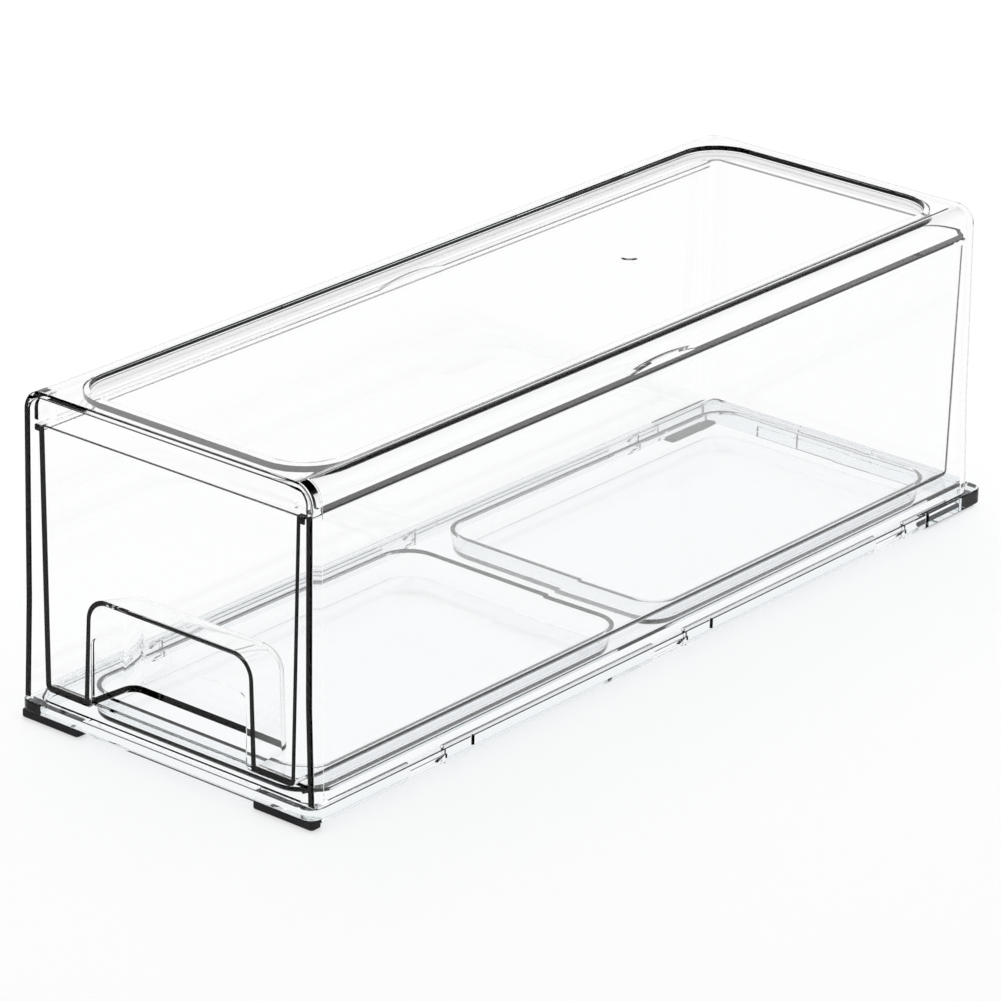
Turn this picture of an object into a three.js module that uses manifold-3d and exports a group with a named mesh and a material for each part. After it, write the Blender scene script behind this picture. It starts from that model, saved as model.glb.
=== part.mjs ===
// A clear stackable storage drawer: an open-fronted case clipped down onto a base tray,
// one drawer that slides out of it on the base, and four dark rubber pads under the corners.
// Millimetres. X runs across, Y from front to rear, Z up. The origin is on the floor, mid-base.

import * as THREE from 'three';
import { mergeVertices } from 'three/addons/utils/BufferGeometryUtils.js';
import Module from 'manifold-3d';

const wasm = await Module();
wasm.setup();

// Fits shared by the pieces
const restGap = 0.3;             // between pieces that rest or press on each other
const slideGap = 0.4;            // under the drawer
const overrun = 8;               // how far a cutting body runs past what it cuts
const fuse = 0.5;                // how deep a moulded feature sinks into the wall that carries it
const arcSteps = 6;              // facets in a quarter round

// Rubber pads
const frontPadThickness = 2.5;
const frontPadLength = 23;       // across
const frontPadWidth = 4.5;
const frontPadInset = 0.3;       // behind the ledge's front edge
const rearPadThickness = 1.2;
const rearPadWidth = 7;
const rearPadInset = 2;          // before the ledge's rear edge
const padSideInset = 0.5;        // front pads, from the ledge's side edge
const rearPadSideInset = 1.5;

// Base tray
const baseWidth = 116;
const baseDepth = 327;
const ledgeThickness = 3.4;
const ledgeCorner = 4;
const skirtLift = 0.9;           // skirt edge above the floor
const skirtInset = 1;            // at the sides and rear
const skirtFrontInset = 2.5;
const skirtCorner = 3;
const deckRise = 3.6;            // sliding deck above the ledge
const deckFrontInset = 3;        // from the ledge's front edge
const deckSlope = 3.6;           // how far the deck's front edge leans back
const baseWall = 1.6;
const wellLift = 0.6;            // underside of the wells above the floor
const wellSideMargin = 11;       // deck beside a well
const wellFrontMargin = 10;      // deck before the front well
const wellRearMargin = 7;        // deck behind the rear well
const wellSpacing = 17;          // deck between the wells
const wellCorner = 10;
const wellSlope = 1.5;           // how far a well's wall leans out
const blockLength = 30.5;        // rear corner blocks over the rear pads, front to rear
const blockWidth = 24.5;

// Case
const caseHeight = 98;
const caseFootInset = 1.3;       // from the ledge's side edge
const caseFrontInset = 1.5;
const caseRearInset = 3.5;
const caseWall = 2;
const caseRearWall = 2;
const caseTopWall = 2;
const waistDrop = 66.5;          // the side walls flare below this depth under the rim
const footFlare = 1.1;
const sideDraft = 0.4;           // above the waist
const rearDraft = 1.6;
const caseCorner = 7.5;          // upright rear corners
const caseEdge = 6.5;            // top edges
const beadDepth = 4.5;           // thicker band round the open front
const beadProud = 0.4;
const recessFrontMargin = 9;
const recessSideMargin = 9.2;
const recessRearMargin = 10.4;
const recessDepth = 2;
const recessCorner = 14;
const gateSize = 7.5;            // moulding gate marks
const gateDepth = 0.4;
const caseGateY = 47;
const drawerGateY = -19;

// Clips between the case and the base
const clipLength = 16;
const clipBlockGap = 12;         // from the last clip to the rear corner block
const rearClipLength = 30;
const clipThickness = 1.8;
const clipLift = 0.9;            // tab end above the floor
const windowRise = 1.5;          // clip window above the underside of the ledge
const wedgeLength = 3.5;
const wedgeHeight = 2.8;
const wedgeProud = 1.1;
const notchSize = 1.6;           // locating notches behind each clip
const notchOffset = 19.4;

// Drawer
const drawerFrontInset = 0.8;    // behind the case's front edge
const drawerRearGap = 0.7;
const drawerSideGap = 0.9;       // beside the rim flange
const drawerHeadroom = 8.5;      // under the case's top wall
const drawerWall = 1.8;
const drawerFrontWall = 1.2;
const drawerDraft = 1.5;
const drawerCorner = 4;
const drawerFootRound = 2.4;
const flangeProud = 1.7;
const flangeThickness = 2.2;
const bumpLength = 30;
const bumpHeight = 1.6;
const bumpWidth = 1.2;
const bumpInset = 2.4;           // from the flange's edge
const bumpY = 1;

// Stops under the front of the case, which the bumps meet when the drawer is pulled out
const stopWidth = 6;
const stopDepth = 3;
const stopInset = 2;             // behind the case's front edge
const stopGap = 0.6;             // above the drawer's flange

// Finger pocket moulded into the bottom of the drawer's front
const pocketHalf = 34;
const pocketDraft = 1.2;         // the arch narrows from its foot to its top
const pocketHeight = 35.8;
const pocketCorner = 8;
const pocketDepth = 19.2;
const pocketRearNarrowing = 2.1;
const pocketRearDrop = 3.7;
const pocketRearRound = 5;
const pocketWall = 1.6;
const openingHalf = 30.3;
const openingHeight = 23.3;
const openingCorner = 3;
const openingFootFlare = 1.7;

// Heights worked out from the stack of pieces
const ledgeBottom = frontPadThickness + restGap;
const ledgeTop = ledgeBottom + ledgeThickness;
const deckTop = ledgeTop + deckRise;
const caseFoot = ledgeTop + restGap;
const caseTop = caseFoot + caseHeight;
const waistZ = caseTop - waistDrop;
const caseCeiling = caseTop - caseTopWall;
const drawerFoot = deckTop + slideGap;
const drawerFloor = drawerFoot + drawerWall;
const drawerTop = caseCeiling - drawerHeadroom;

// Plan places
const baseHalf = baseWidth / 2;
const baseFront = -baseDepth / 2;
const baseRear = baseDepth / 2;
const caseFront = baseFront + caseFrontInset;
const caseFootRear = baseRear - caseRearInset;
const caseFootHalf = baseHalf - caseFootInset;
const waistHalf = caseFootHalf - footFlare;
const caseTopHalf = waistHalf - sideDraft;
const caseTopRear = caseFootRear - rearDraft;
const deckHalf = caseFootHalf - caseWall - restGap;
const deckFront = baseFront + deckFrontInset;
const deckRear = caseFootRear - caseRearWall - restGap;
const deckCorner = caseCorner - caseRearWall - restGap;
const skirtHalf = baseHalf - skirtInset;
const skirtFront = baseFront + skirtFrontInset;
const skirtRear = baseRear - skirtInset;
const clipPitch = baseRear - blockLength - clipBlockGap - clipLength / 2;
const drawerFront = caseFront + drawerFrontInset;
const drawerRear = caseTopRear - caseRearWall - drawerRearGap;
const flangeHalf = caseTopHalf - caseWall - drawerSideGap;
const drawerTopHalf = flangeHalf - flangeProud;
const drawerFootHalf = drawerTopHalf - drawerDraft;

// Solids

function toManifold(geometry) {
  const bare = geometry.clone();
  bare.deleteAttribute('normal');
  bare.deleteAttribute('uv');
  const merged = mergeVertices(bare);
  const vertProperties = new Float32Array(merged.attributes.position.array);
  const triVerts = new Uint32Array(merged.index.array);
  return new wasm.Manifold(new wasm.Mesh({ numProp: 3, vertProperties, triVerts }));
}

function toGeometry(manifold) {
  const mesh = manifold.getMesh();
  const geometry = new THREE.BufferGeometry();
  geometry.setAttribute('position', new THREE.BufferAttribute(mesh.vertProperties, 3));
  geometry.setIndex(new THREE.BufferAttribute(mesh.triVerts, 1));
  geometry.computeVertexNormals();
  return geometry;
}

// A box given by its lowest and highest corners.
function block(x0, x1, y0, y1, z0, z1) {
  const geometry = new THREE.BoxGeometry(x1 - x0, y1 - y0, z1 - z0);
  geometry.translate((x0 + x1) / 2, (y0 + y1) / 2, (z0 + z1) / 2);
  return toManifold(geometry);
}

// A closed skin over a run of outlines that have the same number of points.
function loft(rings) {
  const count = rings[0].length;
  const points = rings.flat();
  const indices = [];
  for (let ring = 0; ring < rings.length - 1; ring++) {
    for (let i = 0; i < count; i++) {
      const a = ring * count + i;
      const b = ring * count + (i + 1) % count;
      indices.push(a, b, b + count, a, b + count, a + count);
    }
  }
  const lastStart = (rings.length - 1) * count;
  points.push(centreOf(rings[0]), centreOf(rings[rings.length - 1]));
  const firstCentre = points.length - 2;
  const lastCentre = points.length - 1;
  for (let i = 0; i < count; i++) {
    const next = (i + 1) % count;
    indices.push(firstCentre, next, i, lastCentre, lastStart + i, lastStart + next);
  }
  const geometry = new THREE.BufferGeometry();
  geometry.setFromPoints(points);
  geometry.setIndex(indices);
  return toManifold(geometry);
}

function centreOf(ring) {
  const centre = new THREE.Vector3();
  ring.forEach((point) => centre.add(point));
  return centre.divideScalar(ring.length);
}

// A level outline at height z, counter-clockwise from above, with its own front and rear corner radii.
function level({ half, front, rear, frontCorner, rearCorner, z }) {
  const corners = [
    { x: -half, y: front, radius: frontCorner, turn: Math.PI },
    { x: half, y: front, radius: frontCorner, turn: Math.PI * 1.5 },
    { x: half, y: rear, radius: rearCorner, turn: 0 },
    { x: -half, y: rear, radius: rearCorner, turn: Math.PI / 2 },
  ];
  return corners.flatMap(({ x, y, radius, turn }) => {
    if (radius <= 0) return [new THREE.Vector3(x, y, z)];
    const cx = x - Math.sign(x) * radius;
    const cy = y + (y === front ? radius : -radius);
    return quarter(turn).map((angle) => (
      new THREE.Vector3(cx + radius * Math.cos(angle), cy + radius * Math.sin(angle), z)
    ));
  });
}

function quarter(start) {
  return Array.from({ length: arcSteps + 1 }, (_, i) => start + (i / arcSteps) * (Math.PI / 2));
}

// An upright prism on a level outline.
function slab(outline, z0, z1) {
  return loft([level({ ...outline, z: z0 }), level({ ...outline, z: z1 })]);
}

// Case

function caseHalfAt(z) {
  if (z < waistZ) {
    return waistHalf + (footFlare * (waistZ - z)) / (waistZ - caseFoot);
  }
  return waistHalf - (sideDraft * (z - waistZ)) / (caseTop - waistZ);
}

function caseRearAt(z) {
  return caseFootRear - (rearDraft * (z - caseFoot)) / caseHeight;
}

// The case's skin, moved in by its wall, from foot to ceiling with a rounded top edge.
function caseBody({ side, back, front, foot, ceiling, edge, corner }) {
  const at = (z, inset) => level({
    half: caseHalfAt(z) - side - inset,
    rear: caseRearAt(z) - back - inset,
    front,
    frontCorner: 0,
    rearCorner: corner - inset,
    z,
  });
  const rounded = quarter(0).map((angle) => (
    at(ceiling - edge * (1 - Math.sin(angle)), edge * (1 - Math.cos(angle)))
  ));
  return loft([at(foot, 0), at(waistZ, 0), ...rounded]);
}

function recessOutline(grow) {
  return {
    half: caseTopHalf - recessSideMargin + grow,
    front: caseFront + recessFrontMargin - grow,
    rear: caseTopRear - recessRearMargin + grow,
    frontCorner: recessCorner + grow,
    rearCorner: recessCorner + grow,
  };
}

function gateMark(y, z) {
  const geometry = new THREE.CylinderGeometry(gateSize / 2, gateSize / 2, gateDepth * 2, arcSteps * 4);
  geometry.rotateX(Math.PI / 2);
  geometry.translate(0, y, z);
  return toManifold(geometry);
}

function clipPlaces() {
  return [-1, 0, 1].map((step) => step * clipPitch);
}

// One side clip: a tab under the wall, with a wedge on its outer face at the rear end.
function sideClip(side, y) {
  const inner = caseFootHalf - caseWall;
  const outer = inner + clipThickness;
  const half = clipLength / 2 - restGap;
  const tab = side > 0
    ? block(inner, outer, y - half, y + half, clipLift, caseFoot + fuse)
    : block(-outer, -inner, y - half, y + half, clipLift, caseFoot + fuse);
  const middle = ledgeBottom + windowRise - restGap - wedgeHeight / 2;
  const shape = new THREE.Shape();
  shape.moveTo(y + half, middle + wedgeHeight / 2);
  shape.lineTo(y + half - wedgeLength, middle);
  shape.lineTo(y + half, middle - wedgeHeight / 2);
  shape.closePath();
  const wedge = alongX(shape, outer - fuse, outer + wedgeProud);
  return tab.add(side > 0 ? wedge : wedge.mirror([1, 0, 0]));
}

// Extrudes a shape drawn in Y and Z from x0 to x1.
function alongX(shape, x0, x1) {
  const geometry = new THREE.ExtrudeGeometry(shape, { depth: x1 - x0, bevelEnabled: false, curveSegments: arcSteps * 4 });
  geometry.applyMatrix4(new THREE.Matrix4().makeBasis(
    new THREE.Vector3(0, 1, 0), new THREE.Vector3(0, 0, 1), new THREE.Vector3(1, 0, 0),
  ));
  geometry.translate(x0, 0, 0);
  return toManifold(geometry);
}

// The two stops, kept inside the case's skin where its top edge is round.
function drawerStops(skin) {
  const inset = { side: fuse, back: fuse, edge: caseEdge - fuse, corner: caseCorner - fuse };
  const limit = caseBody({ ...skin, ...inset, ceiling: caseTop - fuse });
  const inner = caseTopHalf - caseWall - stopWidth;
  const outer = caseTopHalf - caseWall + fuse;
  const y0 = caseFront + stopInset;
  const bar = block(inner, outer, y0, y0 + stopDepth, drawerTop + stopGap, caseCeiling + fuse);
  const right = bar.intersect(limit);
  return { 1: right, [-1]: right.mirror([1, 0, 0]) };
}

function makeCase() {
  const skin = { foot: caseFoot, ceiling: caseTop, edge: caseEdge, corner: caseCorner, front: caseFront };
  const outer = caseBody({ ...skin, side: 0, back: 0 });
  const beadReach = block(-baseWidth, baseWidth, caseFront, caseFront + beadDepth, 0, caseTop);
  const bead = caseBody({ ...skin, side: -beadProud, back: 0 }).intersect(beadReach);
  const inner = caseBody({
    side: caseWall,
    back: caseRearWall,
    front: caseFront - overrun,
    foot: caseFoot - overrun,
    ceiling: caseCeiling,
    edge: caseEdge - caseWall,
    corner: caseCorner - caseRearWall,
  });
  let body = outer.add(bead).subtract(inner);
  body = body.add(slab(recessOutline(caseTopWall), caseCeiling - recessDepth, caseTop));
  body = body.subtract(slab(recessOutline(0), caseTop - recessDepth, caseTop + overrun));
  body = body.add(gateMark(caseGateY, caseTop - recessDepth));
  const stops = drawerStops(skin);
  for (const side of [-1, 1]) {
    body = body.add(stops[side]);
    for (const y of clipPlaces()) {
      body = body.add(sideClip(side, y));
    }
  }
  const rearInner = caseFootRear - caseRearWall;
  const rearHalf = rearClipLength / 2 - restGap;
  const rearTab = block(-rearHalf, rearHalf, rearInner, rearInner + clipThickness, clipLift, caseFoot + fuse);
  return body.add(rearTab);
}

// Base

function wellOutline(front, rear, grow) {
  return {
    half: deckHalf - wellSideMargin + grow,
    front: front - grow,
    rear: rear + grow,
    frontCorner: wellCorner + grow,
    rearCorner: wellCorner + grow,
  };
}

// The two wells, as floor rectangles measured at the deck.
function wellSpans() {
  return [
    { front: deckFront + wellFrontMargin, rear: -wellSpacing / 2 },
    { front: wellSpacing / 2, rear: deckRear - wellRearMargin },
  ];
}

function wellBody({ front, rear }, bottom, grow) {
  return loft([
    level({ ...wellOutline(front, rear, grow - wellSlope), z: bottom }),
    level({ ...wellOutline(front, rear, grow), z: deckTop }),
  ]);
}

// The rim is closed and flush with the ledge over the rear pads.
function cornerBlocks() {
  const outline = {
    half: baseHalf, front: baseFront, rear: baseRear, frontCorner: ledgeCorner, rearCorner: ledgeCorner,
  };
  const rim = slab(outline, skirtLift, ledgeBottom + fuse);
  const y0 = baseRear - blockLength;
  return [
    rim.intersect(block(baseHalf - blockWidth, baseHalf, y0, baseRear, skirtLift, ledgeBottom + fuse)),
    rim.intersect(block(-baseHalf, blockWidth - baseHalf, y0, baseRear, skirtLift, ledgeBottom + fuse)),
  ];
}

// The four pads' corners in plan, and their thickness.
function padPlaces() {
  const frontOuter = baseHalf - padSideInset;
  const frontY = baseFront + frontPadInset;
  const front = {
    x0: frontOuter - frontPadLength,
    x1: frontOuter,
    y0: frontY,
    y1: frontY + frontPadWidth,
    top: frontPadThickness,
  };
  const rearOuter = baseHalf - rearPadSideInset;
  const rear = {
    x0: rearOuter - rearPadWidth,
    x1: rearOuter,
    y0: baseRear - blockLength + restGap,
    y1: baseRear - rearPadInset,
    top: rearPadThickness,
  };
  const mirrored = (place) => ({ ...place, x0: -place.x1, x1: -place.x0 });
  return {
    pad_front_right: front,
    pad_front_left: mirrored(front),
    pad_rear_right: rear,
    pad_rear_left: mirrored(rear),
  };
}

function clipCuts() {
  const inner = deckHalf;
  const outer = caseFootHalf - caseWall + clipThickness + restGap;
  const half = clipLength / 2;
  const cuts = clipPlaces().flatMap((y) => [-1, 1].flatMap((side) => {
    const slot = [side * inner, side * outer].sort((a, b) => a - b);
    const view = [side * (outer - fuse), side * (baseHalf + overrun)].sort((a, b) => a - b);
    return [
      block(slot[0], slot[1], y - half, y + half, skirtLift - overrun, ledgeTop + overrun),
      block(view[0], view[1], y - half, y + half, skirtLift - overrun, ledgeBottom + windowRise),
      notch(side, y + notchOffset),
    ];
  }));
  const rearSlot = [deckRear, caseFootRear - caseRearWall + clipThickness + restGap];
  const rearHalf = rearClipLength / 2;
  return [...cuts, block(-rearHalf, rearHalf, rearSlot[0], rearSlot[1], skirtLift - overrun, ledgeTop + overrun)];
}

// A half-round upright notch in the edge of the ledge.
function notch(side, y) {
  const geometry = new THREE.CylinderGeometry(notchSize / 2, notchSize / 2, ledgeThickness * 2, arcSteps * 2);
  geometry.rotateX(Math.PI / 2);
  geometry.translate(side * baseHalf, y, ledgeTop);
  return toManifold(geometry);
}

// The deck, or the hollow under it, moved in by a wall. Its front leans back above the ledge.
function deckBody(foot, top, wall) {
  const lean = deckSlope / deckRise;
  const across = wall * Math.hypot(1, lean);
  const bend = ledgeTop - (across - wall) / lean;
  const at = (z, front) => level({
    half: deckHalf - wall,
    front,
    rear: deckRear - wall,
    frontCorner: deckCorner - wall,
    rearCorner: deckCorner - wall,
    z,
  });
  const topFront = deckFront + across + lean * (top - ledgeTop);
  return loft([at(foot, deckFront + wall), at(bend, deckFront + wall), at(top, topFront)]);
}

function makeBase() {
  const ledge = {
    half: baseHalf, front: baseFront, rear: baseRear, frontCorner: ledgeCorner, rearCorner: ledgeCorner,
  };
  const skirt = {
    half: skirtHalf, front: skirtFront, rear: skirtRear, frontCorner: skirtCorner, rearCorner: skirtCorner,
  };
  let body = slab(ledge, ledgeBottom, ledgeTop);
  body = body.add(slab(skirt, skirtLift, ledgeBottom + fuse));
  body = body.add(deckBody(ledgeBottom, deckTop, 0));
  cornerBlocks().forEach((piece) => { body = body.add(piece); });
  body = body.subtract(deckBody(skirtLift - overrun, deckTop - baseWall, baseWall));
  for (const span of wellSpans()) {
    body = body.add(wellBody(span, wellLift, baseWall));
  }
  for (const span of wellSpans()) {
    body = body.subtract(wellCut(span));
  }
  clipCuts().forEach((cut) => { body = body.subtract(cut); });
  for (const { x0, x1, y0, y1, top } of Object.values(padPlaces())) {
    const outward = Math.sign(x0 + x1) * overrun;
    const xs = [Math.min(x0 - restGap, x0 - restGap + outward), Math.max(x1 + restGap, x1 + restGap + outward)];
    const ys = y0 + y1 < 0 ? [y0 - overrun, y1 + restGap] : [y0 - restGap, y1 + overrun];
    body = body.subtract(block(xs[0], xs[1], ys[0], ys[1], -overrun, top + restGap));
  }
  return body.subtract(gateMark(0, deckTop));
}

// The inside of a well, run on above the deck.
function wellCut({ front, rear }) {
  const floor = wellLift + baseWall;
  return loft([
    level({ ...wellOutline(front, rear, -wellSlope), z: floor }),
    level({ ...wellOutline(front, rear, 0), z: deckTop }),
    level({ ...wellOutline(front, rear, 0), z: deckTop + overrun }),
  ]);
}

// Drawer

function drawerHalfAt(z) {
  return drawerTopHalf - (drawerDraft * (drawerTop - z)) / (drawerTop - drawerFoot);
}

function drawerOuter() {
  const at = (z, inset) => level({
    half: drawerHalfAt(z) - inset,
    front: drawerFront,
    rear: drawerRear - inset,
    frontCorner: 0,
    rearCorner: drawerCorner - inset,
    z,
  });
  const rounded = quarter(0).map((angle) => (
    at(drawerFoot + drawerFootRound * (1 - Math.cos(angle)), drawerFootRound * (1 - Math.sin(angle)))
  ));
  return loft([...rounded, at(drawerTop, 0)]);
}

function drawerInner() {
  const at = (z) => level({
    half: drawerHalfAt(z) - drawerWall,
    front: drawerFront + drawerFrontWall,
    rear: drawerRear - drawerWall,
    frontCorner: 0,
    rearCorner: drawerCorner - drawerWall,
    z,
  });
  return loft([at(drawerFloor), at(drawerTop + overrun)]);
}

// An arch outline facing front, clockwise from its left foot seen from the front.
function arch({ footHalf, topHalf, foot, top, corner, y }) {
  const right = quarter(0).map((angle) => new THREE.Vector3(
    topHalf - corner + corner * Math.cos(angle), y, top - corner + corner * Math.sin(angle),
  ));
  const left = right.map((point) => new THREE.Vector3(-point.x, y, point.z)).reverse();
  return [new THREE.Vector3(footHalf, y, foot), ...right, ...left, new THREE.Vector3(-footHalf, y, foot)];
}

// The finger pocket's body, inset by a wall, between two planes, with its rear edge rounded.
function pocketBody(inset, y0, y1, foot) {
  const at = (y, round) => {
    const share = (y - drawerFront) / pocketDepth;
    const narrow = pocketRearNarrowing * share + inset + round;
    return arch({
      footHalf: pocketHalf - narrow,
      topHalf: pocketHalf - pocketDraft - narrow,
      foot,
      top: drawerFoot + pocketHeight - pocketRearDrop * share - inset - round,
      corner: pocketCorner - inset - round,
      y,
    });
  };
  const radius = pocketRearRound - inset;
  const rounded = quarter(0).map((angle) => (
    at(y1 - radius * (1 - Math.sin(angle)), radius * (1 - Math.cos(angle)))
  ));
  return loft([...rounded.reverse(), at(y0, 0)]);
}

// The opening under the finger lip, with its feet flared at the bottom edge.
function pocketOpening() {
  const top = drawerFoot + openingHeight;
  const foot = drawerFoot - overrun;
  const shape = new THREE.Shape();
  shape.moveTo(-openingHalf - openingFootFlare, foot);
  shape.lineTo(openingHalf + openingFootFlare, foot);
  shape.lineTo(openingHalf + openingFootFlare, drawerFoot);
  shape.absarc(
    openingHalf + openingFootFlare, drawerFoot + openingFootFlare, openingFootFlare, -Math.PI / 2, -Math.PI, true,
  );
  shape.absarc(openingHalf - openingCorner, top - openingCorner, openingCorner, 0, Math.PI / 2, false);
  shape.absarc(openingCorner - openingHalf, top - openingCorner, openingCorner, Math.PI / 2, Math.PI, false);
  shape.absarc(
    -openingHalf - openingFootFlare, drawerFoot + openingFootFlare, openingFootFlare, 0, -Math.PI / 2, true,
  );
  shape.closePath();
  return alongY(shape, drawerFront - overrun, drawerFront + drawerFrontWall + fuse);
}

// Extrudes a shape drawn in X and Z from y0 to y1.
function alongY(shape, y0, y1) {
  const geometry = new THREE.ExtrudeGeometry(shape, { depth: y1 - y0, bevelEnabled: false, curveSegments: arcSteps });
  geometry.rotateX(Math.PI / 2);
  geometry.translate(0, y1, 0);
  return toManifold(geometry);
}

// A low lens on top of the rim flange.
function rimBump(side) {
  const half = bumpLength / 2;
  const radius = (half * half + bumpHeight * bumpHeight) / (2 * bumpHeight);
  const centreZ = drawerTop + bumpHeight - radius;
  const reach = Math.asin(half / radius);
  const shape = new THREE.Shape();
  shape.moveTo(bumpY - half, drawerTop - fuse);
  shape.lineTo(bumpY + half, drawerTop - fuse);
  shape.absarc(bumpY, centreZ, radius, Math.PI / 2 - reach, Math.PI / 2 + reach, false);
  shape.closePath();
  const bump = alongX(shape, flangeHalf - bumpInset - bumpWidth, flangeHalf - bumpInset);
  return side > 0 ? bump : bump.mirror([1, 0, 0]);
}

function makeDrawer() {
  const flange = block(
    -flangeHalf, flangeHalf, drawerFront, drawerRear - drawerCorner, drawerTop - flangeThickness, drawerTop,
  );
  let body = drawerOuter().add(flange).subtract(drawerInner());
  const pocketRear = drawerFront + pocketDepth;
  body = body.add(pocketBody(0, drawerFront + drawerFrontWall / 2, pocketRear, drawerFoot));
  const cavityFoot = drawerFoot - overrun;
  const cavityFront = drawerFront + drawerFrontWall;
  body = body.subtract(pocketBody(pocketWall, cavityFront, pocketRear - pocketWall, cavityFoot));
  body = body.subtract(pocketOpening());
  body = body.add(rimBump(1)).add(rimBump(-1));
  return body.subtract(gateMark(drawerGateY, drawerFloor));
}

// Finishes

const clearPlastic = new THREE.MeshStandardMaterial({
  color: 0xf1f5f6, roughness: 0.06, metalness: 0, transparent: true, opacity: 0.35,
});
const basePlastic = new THREE.MeshStandardMaterial({
  color: 0xe4eaed, roughness: 0.08, metalness: 0, transparent: true, opacity: 0.4,
});
const padRubber = new THREE.MeshStandardMaterial({ color: 0x141517, roughness: 0.8, metalness: 0 });

function piece(name, manifold, material) {
  const mesh = new THREE.Mesh(toGeometry(manifold), material);
  mesh.name = name;
  return mesh;
}

const part = new THREE.Group();
part.add(piece('case_shell', makeCase(), clearPlastic));
part.add(piece('base_tray', makeBase(), basePlastic));
part.add(piece('sliding_drawer', makeDrawer(), clearPlastic));
for (const [name, { x0, x1, y0, y1, top }] of Object.entries(padPlaces())) {
  part.add(piece(name, block(x0, x1, y0, y1, 0, top), padRubber));
}

export default part;
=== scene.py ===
# %% [markdown]
# # A clear storage drawer
#
# The object is a narrow box of clear moulded plastic for a kitchen shelf. A case, open at the
# front and the bottom, clips down onto a base tray, and one drawer slides out over the base.
# Four black rubber pads sit under the corners.
#
# Clear plastic has no colour to paint. What the eye sees is its edges: each rounded edge bends
# light like a small lens and shows as a thin dark line, while the flat faces almost vanish.
# So this lesson spends its effort on three things: walls of the true thickness, small true
# radii on every edge, and a bright room with a dark ceiling for those edges to bend into view.
#
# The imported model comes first. It gives the place of every piece, in metres.

# %% Load the frame
import math

import bmesh
import bpy
from mathutils import Matrix, Vector


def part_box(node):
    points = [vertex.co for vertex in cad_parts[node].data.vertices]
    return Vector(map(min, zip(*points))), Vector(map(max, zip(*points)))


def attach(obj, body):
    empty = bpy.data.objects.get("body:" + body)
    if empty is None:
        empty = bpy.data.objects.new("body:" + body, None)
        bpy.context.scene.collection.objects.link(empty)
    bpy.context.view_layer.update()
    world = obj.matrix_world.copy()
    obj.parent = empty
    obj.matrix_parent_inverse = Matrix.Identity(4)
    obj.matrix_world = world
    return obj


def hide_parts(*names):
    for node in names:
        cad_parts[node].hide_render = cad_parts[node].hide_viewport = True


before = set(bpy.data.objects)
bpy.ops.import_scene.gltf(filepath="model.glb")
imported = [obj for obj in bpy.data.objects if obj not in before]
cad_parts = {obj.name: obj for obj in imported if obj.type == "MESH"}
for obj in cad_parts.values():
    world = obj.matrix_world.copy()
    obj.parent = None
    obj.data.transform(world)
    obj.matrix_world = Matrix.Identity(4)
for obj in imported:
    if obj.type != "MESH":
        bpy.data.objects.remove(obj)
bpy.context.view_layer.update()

MM = 0.001
scene = bpy.context.scene

# %% [markdown]
# ## The camera
#
# The photograph was taken with a long lens from the front right, a little above the object.
# A long lens keeps the drawer's long edges nearly parallel. Its place is written as a direction,
# a distance and the point that it looks at, because these are easy to think about. The small
# roll is the tilt with which the picture was taken or straightened.

# %% Camera
LENS = 192.754
SENSOR = 36.0
CAMERA_AZIMUTH = 39.5065
CAMERA_ELEVATION = 22.6605
CAMERA_ROLL = 1.2364
CAMERA_DISTANCE = 1645.27 * MM
CAMERA_AIM = Vector((-4.05 * MM, -8.01 * MM, 36.37 * MM))


def place_camera():
    azimuth = math.radians(CAMERA_AZIMUTH)
    elevation = math.radians(CAMERA_ELEVATION)
    roll = math.radians(CAMERA_ROLL)
    level_reach = math.cos(elevation)
    forward = Vector((
        -math.sin(azimuth) * level_reach, math.cos(azimuth) * level_reach, -math.sin(elevation),
    ))
    level_right = Vector((math.cos(azimuth), math.sin(azimuth), 0))
    level_up = level_right.cross(forward)
    right = level_right * math.cos(roll) + level_up * math.sin(roll)
    up = level_up * math.cos(roll) - level_right * math.sin(roll)
    matrix = Matrix((right, up, -forward)).transposed().to_4x4()
    matrix.translation = CAMERA_AIM - forward * CAMERA_DISTANCE
    lens = bpy.data.cameras.new("camera")
    lens.lens = LENS
    lens.sensor_width = SENSOR
    camera = bpy.data.objects.new("camera", lens)
    camera.matrix_world = matrix
    scene.collection.objects.link(camera)
    scene.camera = camera
    return camera


camera = place_camera()
print("camera at", [round(v / MM) for v in camera.location], "mm")

# %% [markdown]
# ## How light travels here
#
# A look through this drawer crosses fourteen faces or more, so the renderer has to follow a ray
# through many of them. It also has to stop somewhere: a ray that is trapped inside a wall, and
# bounces along it, is cut off after a few reflections and stays black. That draws the bold lines
# where a wall is seen end-on.

# %% Light paths
SEE_THROUGH_BOUNCES = 22
REFLECTION_BOUNCES = 3

scene.view_settings.view_transform = "Standard"
scene.cycles.max_bounces = SEE_THROUGH_BOUNCES
scene.cycles.transmission_bounces = SEE_THROUGH_BOUNCES
scene.cycles.glossy_bounces = REFLECTION_BOUNCES
scene.cycles.transparent_max_bounces = 3 * SEE_THROUGH_BOUNCES
scene.cycles.use_denoising = True
print("a ray is followed through", SEE_THROUGH_BOUNCES, "faces")

# %% [markdown]
# ## Node helpers
#
# Every finish below is a small graph of nodes. Four helpers keep these graphs short: they add
# a node and fill its sockets, add a step of arithmetic, start an empty graph, and mix two
# shaders.


# %% Node helpers
def add_node(tree, kind, **sockets):
    """Add a node, and set sockets by name or link them to another node's socket."""
    node = tree.nodes.new(kind)
    for name, value in sockets.items():
        socket = node.inputs[name.replace("_", " ")]
        if isinstance(value, bpy.types.NodeSocket):
            tree.links.new(value, socket)
        else:
            socket.default_value = value
    return node


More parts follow.
